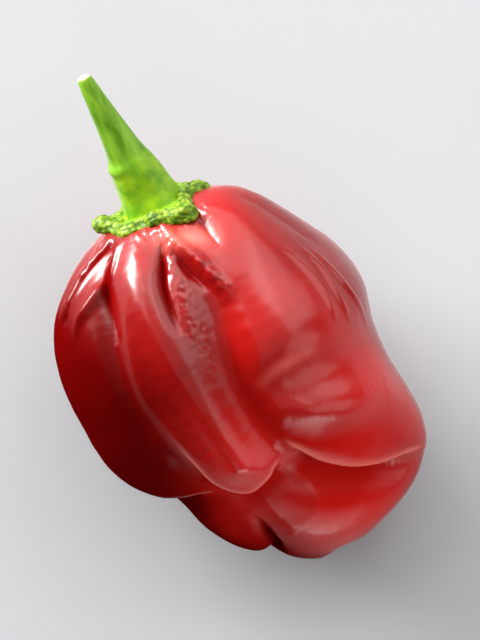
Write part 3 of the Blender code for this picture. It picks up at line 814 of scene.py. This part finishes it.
# A brighter red painted on lobes that face up, as light
POD_PAINTED_LIGHT = (0.56, 0.010, 0.007, 1.0)
# A dark red painted into grooves, under lips and on the left flank as shade
POD_PAINTED_SHADE = (0.085, 0.0007, 0.0007, 1.0)
# A pale pink painted as sheen where the skin is seen at a slant
POD_PAINTED_SHEEN = (0.60, 0.13, 0.11, 1.0)
# A pale orange painted on the lips' rims and under the ring as a highlight
POD_PAINTED_HIGHLIGHT = (0.85, 0.16, 0.12, 1.0)
POD_BLOTCHES = ((0.3, POD_DARK), (0.5, POD_RED), (0.7, POD_LIGHT))
BLOTCH_NOISE = {"Scale": 90.0, "Detail": 3.0}
# A painted sheen, mixed into the colour where the skin is seen at a slant: the layer weight's blend, where it
# sets in, and its most
PAINTED_SHEEN_BLEND, PAINTED_SHEEN_SETS_IN, PAINTED_SHEEN_MOST = 0.35, 0.62, 0.85
# How far the painted highlight goes at most
PAINTED_HIGHLIGHT_MOST = 0.7

# %% The pod's skin
SKIN_ROUGHNESS = 0.4
WAX_ROUGHNESS = 0.25
WAX_IOR = 1.5
RIPPLE_NOISE = {"Scale": 700.0, "Detail": 2.0, "Strength": 0.5, "Height": 0.00015}


def pod_colour(tree, where):
    """Blotches of red, then over them the painted light on lobes that face up, the painted sheen at a slant,
    the painted highlight on lip edges and under the ring, and the painted shade.
    """
    blotches, _ = uneven_skin(tree, where, BLOTCH_NOISE)
    colour = ramp(tree, blotches, POD_BLOTCHES)
    # Painted light on the lobes that face up
    colour = mixed(tree, attribute(tree, "painted_light"), colour, POD_PAINTED_LIGHT)
    # Painted sheen: paler where the skin is seen at a slant
    slant = add_node(tree, "ShaderNodeLayerWeight", {"Blend": PAINTED_SHEEN_BLEND}).outputs["Facing"]
    painted_sheen = stretched(tree, slant, PAINTED_SHEEN_SETS_IN, 1.0, last=PAINTED_SHEEN_MOST)
    colour = mixed(tree, painted_sheen, colour, POD_PAINTED_SHEEN)
    # Painted highlight on the lips' rims and under the ring
    painted_highlight = stretched(tree, attribute(tree, "painted_highlight"), 0.0, 1.0, last=PAINTED_HIGHLIGHT_MOST)
    colour = mixed(tree, painted_highlight, colour, POD_PAINTED_HIGHLIGHT)
    # Painted shade over all the rest
    return mixed(tree, attribute(tree, "painted_shade"), colour, POD_PAINTED_SHADE)


def pepper_skin():
    """Waxy red: colour with painted light and shade in it, wax as a coat that is taken away where shade is
    painted, and ripples.
    """
    material, tree, shader = new_material("pepper skin")
    where = add_node(tree, "ShaderNodeTexCoord").outputs["Object"]
    colour = pod_colour(tree, where)
    # The coat is taken away where shade is painted
    wax = stretched(tree, attribute(tree, "shade_without_gloss"), 0.0, 1.0, first=1.0, last=0.0)
    _, rippled = uneven_skin(tree, where, RIPPLE_NOISE)
    give(tree, shader, {"Base Color": colour, "Roughness": SKIN_ROUGHNESS, "Specular IOR Level": 0.0})
    give(tree, shader, {"Coat Weight": wax, "Coat Roughness": WAX_ROUGHNESS, "Coat IOR": WAX_IOR})
    give(tree, shader, {"Normal": rippled})
    return material


# %% [markdown]
# The stem is streaked along its length. Its swollen foot is a mottled yellow-green, and the crumbs of the
# calyx are yellowish on top, with a dark green painted into the gaps between them as shade. The surface
# carries three numbers for this: how high a point is above the calyx, how much it is ring, and how far it
# stands out as a crumb.

# %% Greens of the stem, the ring and the cut end
STEM_GREEN = (0.08, 0.21, 0.004, 1.0)
STEM_LIGHT = (0.20, 0.40, 0.02, 1.0)
FOOT_GREEN = (0.10, 0.27, 0.004, 1.0)
FOOT_YELLOW = (0.24, 0.42, 0.005, 1.0)
# A dark green painted into the gaps between crumbs as shade
GAP_PAINTED_SHADE = (0.03, 0.08, 0.002, 1.0)
CRUMB_GREEN = (0.08, 0.16, 0.003, 1.0)
CRUMB_PALE = (0.23, 0.33, 0.015, 1.0)
CUT_CREAM = (0.60, 0.60, 0.30, 1.0)

# %% The stem's skin
# Heights in mm above the calyx between which the foot turns into the stem, and the stem into its cut end
FOOT_ENDS = (6.5, 10.0)
CUT_STARTS = (20.4, 20.6)
STREAK_NOISE = {"Scale": 900.0, "Detail": 3.0, "Strength": 0.4, "Height": 0.00015}
STREAK_STRETCH = (1.0, 0.2, 1.0)
MOTTLE_NOISE = {"Scale": 420.0, "Detail": 3.0}
STEM_ROUGHNESS = 0.45
STEM_SPECULAR = 0.25


def stem_colour(tree, streaks, mottle):
    """Streaked green above the foot, mottled yellow-green on it, a cream cut end, and crumbs on the ring,
    with painted shade in the gaps between them.
    """
    upper = ramp(tree, streaks, ((0.35, STEM_GREEN), (0.65, STEM_LIGHT)))
    foot = ramp(tree, mottle, ((0.38, FOOT_GREEN), (0.62, FOOT_YELLOW)))
    # Painted shade in the gaps between crumbs, green on them and yellowish on their tops
    greens = ((0.25, GAP_PAINTED_SHADE), (0.7, CRUMB_GREEN), (0.97, CRUMB_PALE))
    crumbly = ramp(tree, attribute(tree, "crumb"), greens)
    height = attribute(tree, "height")
    colour = mixed(tree, stretched(tree, height, *FOOT_ENDS), foot, upper)
    colour = mixed(tree, stretched(tree, height, *CUT_STARTS), colour, CUT_CREAM)
    return mixed(tree, attribute(tree, "ring"), colour, crumbly)


def stem_skin():
    """Matt green: colour and a streaky bump, from noise that is stretched along the stem."""
    material, tree, shader = new_material("stem green")
    where = add_node(tree, "ShaderNodeTexCoord").outputs["Object"]
    along = add_node(tree, "ShaderNodeMapping", {"Vector": where, "Scale": STREAK_STRETCH}).outputs[0]
    streaks, streaky = uneven_skin(tree, along, STREAK_NOISE)
    mottle, _ = uneven_skin(tree, where, MOTTLE_NOISE)
    give(tree, shader, {"Base Color": stem_colour(tree, streaks, mottle), "Normal": streaky})
    give(tree, shader, {"Roughness": STEM_ROUGHNESS, "Specular IOR Level": STEM_SPECULAR})
    return material


# %% [markdown]
# ## Making the pod
#
# The grid has enough rows and turns for a wart to cover a few faces, and stays under 200,000 triangles.

# %% Build the pod
POD_ROW_COUNT, POD_TURN_COUNT = 270, 360
# How much closer the grid is at the top of the pod, and half way along it
TOP_DENSITY, MIDDLE_DENSITY = 0.75, 0.5
DENSITY_STEPS = 101

even_steps = np.linspace(0, 1, DENSITY_STEPS)
along_density = 1 + MIDDLE_DENSITY * np.sin(np.pi * even_steps) ** 2
round_density = 1 + TOP_DENSITY * np.sin(2 * np.pi * even_steps)
POD_ROWS = steps_by_density(POD_ROW_COUNT, along_density)
POD_TURNS = 2 * math.pi * steps_by_density(POD_TURN_COUNT, round_density)[:-1]
pod = closed_skin("pod_skin", pod_skin, POD_ROWS, POD_TURNS, pepper_skin())

# %% [markdown]
# ## Calyx and stem
#
# The stem is a tapering cone that swells just above the calyx. The calyx is a crumbly green ring round
# it, with a few blunt teeth that lie on the pod's shoulder. Both are one surface of revolution with a
# changing radius. The profile runs from the cut end down the stem and over the ring, then down the ring's
# outer wall, then back under it.

# %% The stem's profile
# Height above the calyx and radius, from the cut end to the ring's rim
STEM_PROFILE = (
    (20.5, 0.0),
    (20.7, 0.55),
    (20.3, 0.95),
    (18.0, 1.25),
    (14.0, 1.7),
    (11.0, 2.1),
    (9.2, 2.45),
    (8.2, 2.75),
    (6.5, 3.1),
    (4.0, 3.45),
    (2.6, 3.8),
    (1.7, 4.1),
    (1.4, 4.7),
    (1.3, 5.4),
    (1.2, 6.0),
)
STEM_CURVE_POINTS = 200
STEM_CURVE = curve_through(STEM_PROFILE, STEM_CURVE_POINTS)
STEM_RUN = np.concatenate([[0], np.cumsum(np.linalg.norm(np.diff(STEM_CURVE, axis=0), axis=1))])
print("down the stem and over the ring, mm:", round(STEM_RUN[-1], 1))
STEM_RUN /= STEM_RUN[-1]

# %% Teeth of the ring
# Turn in degrees, width in degrees, how far each reaches and how far it lifts
TEETH = (
    (182, 14, 1.2, 1.6),
    (214, 12, 0.6, 0.2),
    (250, 13, 0.7, 0.1),
    (286, 12, 0.6, 0.2),
    (324, 16, 1.3, -0.1),
    (2, 12, 2.4, 0.0),
    (56, 13, 2.3, 0.0),
    (84, 14, 0.4, 0.1),
    (134, 16, 0.6, 0.1),
)


def teeth(turn):
    """How far the ring reaches and lifts at each turn: a bell curve for each tooth, added up."""
    reach, lift = np.zeros_like(turn), np.zeros_like(turn)
    for middle, width, out, rise in TEETH:
        away = (np.degrees(turn) - middle + 180) % 360 - 180
        tooth = np.exp(-((away / width) ** 2))
        reach += out * tooth
        lift += rise * tooth
    return reach, lift


# %% Where the ring sits
RIM_SINKS_IN = 0.15


def seat_under(wide, turn):
    """Height of the shoulder at the first section as wide as the ring, less what the ring sinks in. The width
    goes from the section's right reach to its upper one with the sine of the turn."""
    shoulder = SECTION_ROWS[: SECTION_ROWS[:, 2].argmax()]
    upper = np.clip(np.sin(turn), 0, 1)
    reach_there = shoulder[:, 2] + (shoulder[:, 3] - shoulder[:, 2]) * upper[:, None]
    section = np.argmax(reach_there >= wide[:, None], axis=1)
    return -shoulder[section, 0] - RIM_SINKS_IN


# %% The calyx and stem without crumbs
# Up to the first of these the rows go over stem and ring, up to the second down the ring's wall
STEM_ROWS_END, WALL_ROWS_END = 0.72, 0.86
RIM_RADIUS = 6.0
# Shares of the rim's radius between which the surface turns into rim, turns into ring, and ends the stem
RIM_FROM, RING_FROM, STEM_LEFT_AT = (0.6, 1.0), (0.68, 0.8), (0.7, 1.0)
RIM_DRAWN_IN = 0.5
RIM_THICKNESS, RIM_TAPER = 1.1, 0.3
# Height, radius and width of the roll round the ring
RIM_ROLL = (0.6, 5.2, 0.7)
WALL_BULGE = 0.35
RING_GOES_UNDER = 0.2
STEM_ASIDE = 0.8
STEM_LEAN = (-0.05, 0.02)
# A step on the stem's left: how far it stands out, height above the calyx, width
STEP_ON_THE_LEFT = (0.3, 8.0, 0.7)
# Faint ribs along the stem: their height as a share of its radius, their number, and their turn
RIB_SHARE, RIB_COUNT, RIB_TURN, RIBS_SET_IN = 0.05, 5, 0.6, (0.05, 0.3)


def stem_width(row, turn, radius, outside, rim, wall, under):
    """The radius, plus teeth and a bulging wall at the rim, plus a step on the left, times faint ribs."""
    wide = radius + rim * (teeth(turn)[0] - RIM_DRAWN_IN) + WALL_BULGE * np.sin(np.pi * wall)
    step, step_height, step_width = STEP_ON_THE_LEFT
    on_the_left = np.clip(-np.cos(turn), 0, 1) * (wall == 0)
    wide += step * np.exp(-(((outside - step_height) / step_width) ** 2)) * on_the_left
    ribs = RIB_SHARE * (1 - rim) * np.cos(RIB_COUNT * turn + RIB_TURN) * ease(*RIBS_SET_IN, row)
    return wide * (1 + np.where(under > 0, 0, ribs))


def plain_collar(row, turn):
    """Radius and height from the profile, and a ring that stands on the pod's shoulder with a roll on top.
    Returns the points, their height above the calyx and how much each belongs to the ring."""
    wall = np.clip((row - STEM_ROWS_END) / (WALL_ROWS_END - STEM_ROWS_END), 0, 1)
    under = np.clip((row - WALL_ROWS_END) / (1 - WALL_ROWS_END), 0, 1)
    outside = np.interp(row / STEM_ROWS_END, STEM_RUN, STEM_CURVE[:, 0])
    radius = np.interp(row / STEM_ROWS_END, STEM_RUN, STEM_CURVE[:, 1]) * (1 - under)
    out = radius / RIM_RADIUS
    rim = ease(*RIM_FROM, out)
    wide = stem_width(row, turn, radius, outside, rim, wall, under)
    seat = seat_under(wide, turn)
    roll_height, roll_radius, roll_width = RIM_ROLL
    top = np.maximum(outside, seat + RIM_THICKNESS * (1 - RIM_TAPER * rim))
    top += roll_height * np.exp(-(((radius - roll_radius) / roll_width) ** 2))
    above = np.where(under > 0, seat, top + (seat - top) * ease(0, 1, wall)) + rim**2 * teeth(turn)[1]
    aside = STEM_ASIDE * (1 - ease(*STEM_LEFT_AT, out))
    x = wide * np.cos(turn) + aside + STEM_LEAN[0] * np.maximum(above, 0)
    up = wide * np.sin(turn) + STEM_LEAN[1] * np.maximum(above, 0)
    return place(x, up, above), above, ease(*RING_FROM, out) * (under < RING_GOES_UNDER)


# %% [markdown]
# The ring is corky: small round crumbs with dark gaps, some taller than others, and finer crumbs on them.
# They are the same noise as the pod's warts, and move the surface along its own normal.

# %% Crumbs on the ring
# Size in mm and seed of each pattern
CRUMBS, FINE_CRUMBS, TALLNESS, RING_LUMPS = (0.65, 31), (0.34, 32), (2.0, 33), (1.7, 34)
CRUMB_HEIGHT, FINE_CRUMB_HEIGHT, RING_UNEVENNESS = 0.42, 0.15, 0.5
# How much of a crumb, whose top is at 1, lies below the plain ring
CRUMB_LEVEL = 0.6
# How tall the crumbs are in the mean, and how much that varies
CRUMB_MEAN, CRUMB_VARIES = 0.7, 0.6
COLLAR_STEP = 0.002


def collar_skin(row, turn):
    """The plain collar, moved along its own normal by two sizes of crumbs and value noise on the ring."""
    points, above, ring = plain_collar(row, turn)
    middle = np.clip(row, 2 * COLLAR_STEP, 1 - 2 * COLLAR_STEP)
    normal = way_out(lambda r, a: plain_collar(r, a)[0], middle, turn, COLLAR_STEP)
    crumb = crumbs(points, *CRUMBS)
    tallness = CRUMB_MEAN + CRUMB_VARIES * lumps(points, *TALLNESS)
    rise = CRUMB_HEIGHT * (crumb - CRUMB_LEVEL) * tallness
    rise += FINE_CRUMB_HEIGHT * crumbs(points, *FINE_CRUMBS)
    rise += RING_UNEVENNESS * lumps(points, *RING_LUMPS)
    points = points + (ring * rise)[:, None] * normal
    return points, {"height": above, "ring": ring, "crumb": np.clip(crumb, 0, 1)}


# %% Build the calyx and stem
STEM_ROW_COUNT, STEM_TURN_COUNT = 320, 300
STEM_ROWS = np.linspace(0, 1, STEM_ROW_COUNT + 1)
STEM_TURNS = 2 * math.pi * np.arange(STEM_TURN_COUNT) / STEM_TURN_COUNT
stem = closed_skin("calyx_and_stem", collar_skin, STEM_ROWS, STEM_TURNS, stem_skin())

# %% [markdown]
# ## The studio
#
# The pepper lies on a plain pale floor. The camera looks straight down on it, turned so that the stem
# points up and to the left. A long lens from far away keeps the outline true.

# %% Floor
FLOOR_SIZE = 3.0
FLOOR_GREY = (0.44, 0.44, 0.455, 1.0)
FLOOR_ROUGHNESS = 0.7


def floor_material():
    """A plain matt grey."""
    material, tree, shader = new_material("pale floor")
    give(tree, shader, {"Base Color": FLOOR_GREY, "Roughness": FLOOR_ROUGHNESS})
    return material


floor_mesh = bpy.data.meshes.new("floor")
half = FLOOR_SIZE / 2
floor_corners = [(-half, -half, 0), (half, -half, 0), (half, half, 0), (-half, half, 0)]
floor_mesh.from_pydata(floor_corners, [], [(0, 1, 2, 3)])
floor_mesh.materials.append(floor_material())
floor = add_object("floor", floor_mesh)
floor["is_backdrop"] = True

# %% The picture's own directions on the floor
PICTURE_ROLL = math.radians(25.8)
PICTURE_RIGHT = np.array([math.cos(PICTURE_ROLL), -math.sin(PICTURE_ROLL), 0.0])
PICTURE_UP = np.array([math.sin(PICTURE_ROLL), math.cos(PICTURE_ROLL), 0.0])


def in_picture(right, up, height):
    """A place in the frame: metres to the picture's right and top from the origin, and above the floor."""
    return PICTURE_RIGHT * right + PICTURE_UP * up + np.array([0, 0, height])


# %% Camera
CAMERA_DISTANCE = 0.6
# What the picture's height covers at the pod's middle, and the frame's x and y in the picture's middle
FRAME_HEIGHT = 0.0812
FRAME_MIDDLE = (0.0032, 0.0052)
POD_MIDDLE_HEIGHT = 0.02
SENSOR = 36.0

camera_data = bpy.data.cameras.new("camera")
camera_data.sensor_width = SENSOR
camera_data.lens = SENSOR * CAMERA_DISTANCE / FRAME_HEIGHT
camera = add_object("camera", camera_data)
camera.location = (*FRAME_MIDDLE, CAMERA_DISTANCE + POD_MIDDLE_HEIGHT)
camera.rotation_euler = (0, 0, -PICTURE_ROLL)
bpy.context.scene.camera = camera
print("lens, mm:", round(camera_data.lens))

# %% [markdown]
# ## A window, a lamp and a dim room
#
# The veils of light on a glossy fruit are pictures of what stands round it. Here that is one wide window
# beyond the top of the picture, made of three panels side by side, and a low, bright lamp at its left,
# whose reflections are the whitest streaks near the calyx. A weak wall on the right and a low fill beyond
# the bottom of the picture lift the tip. The rest of the room is dark, which keeps the red deep. A lamp's
# power is its radiance times pi times its area, so a panel is given the radiance that a mirror would show.

# %% Panels
# Name, degrees clockwise from the picture's top, elevation, distance, width, height, radiance
PANELS = (
    ("window left", -48, 32, 1.1, 0.9, 1.0, 2.4),
    ("window middle", 0, 34, 1.1, 0.95, 1.0, 2.6),
    ("low lamp", -50, 13, 1.0, 0.7, 0.24, 58.0),
    ("window right", 46, 34, 1.1, 0.9, 1.0, 2.2),
    ("ceiling", 0, 90, 1.3, 1.5, 1.5, 0.45),
    ("right wall", 104, 30, 1.1, 0.7, 0.8, 1.5),
    ("low fill", 160, 13, 1.1, 0.9, 0.45, 4.4),
)


def panel(name, azimuth, elevation, distance, width, height, radiance):
    """A rectangular area light at that direction in the picture, facing the pod."""
    data = bpy.data.lights.new(name, "AREA")
    data.shape = "RECTANGLE"
    data.size, data.size_y = width, height
    data.energy = radiance * math.pi * width * height
    light = add_object(name, data)
    out = distance * math.cos(math.radians(elevation))
    azimuth = math.radians(azimuth)
    light.location = in_picture(out * math.sin(azimuth), out * math.cos(azimuth),
                                distance * math.sin(math.radians(elevation)))
    aim = Vector((0, 0, POD_MIDDLE_HEIGHT)) - light.location
    light.rotation_euler = aim.to_track_quat("-Z", "Y").to_euler()


for row in PANELS:
    panel(*row)
print("lamps:", len(PANELS))

# %% The room's own light
ROOM_LIGHT = 0.02
WHITE = (1.0, 1.0, 1.0, 1.0)

world = bpy.data.worlds.new("studio")
bpy.context.scene.world = world
world.use_nodes = True
give(world.node_tree, world.node_tree.nodes["Background"], {"Color": WHITE, "Strength": ROOM_LIGHT})
bpy.context.scene.view_settings.view_transform = "Standard"

# %% [markdown]
# ## Tie the pieces to the frame
#
# Each piece replaces its CAD solid and moves with the one body. The two boxes are then printed, so that the
# sizes of the CAD model and of this one can be compared.

# %% Ride, replace and sizes
for piece, node, slot in ((pod, "pod", "skin"), (stem, "calyx_stem", "green_stem")):
    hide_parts(node)
    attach(piece, "root")

boxes = {"cad": [list(corner) for corner in cad_box], "visual": [list(corner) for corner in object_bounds()]}
for name, (low, high) in boxes.items():
    print(name, "size, mm:", [round(1000 * (b - a), 2) for a, b in zip(low, high)])
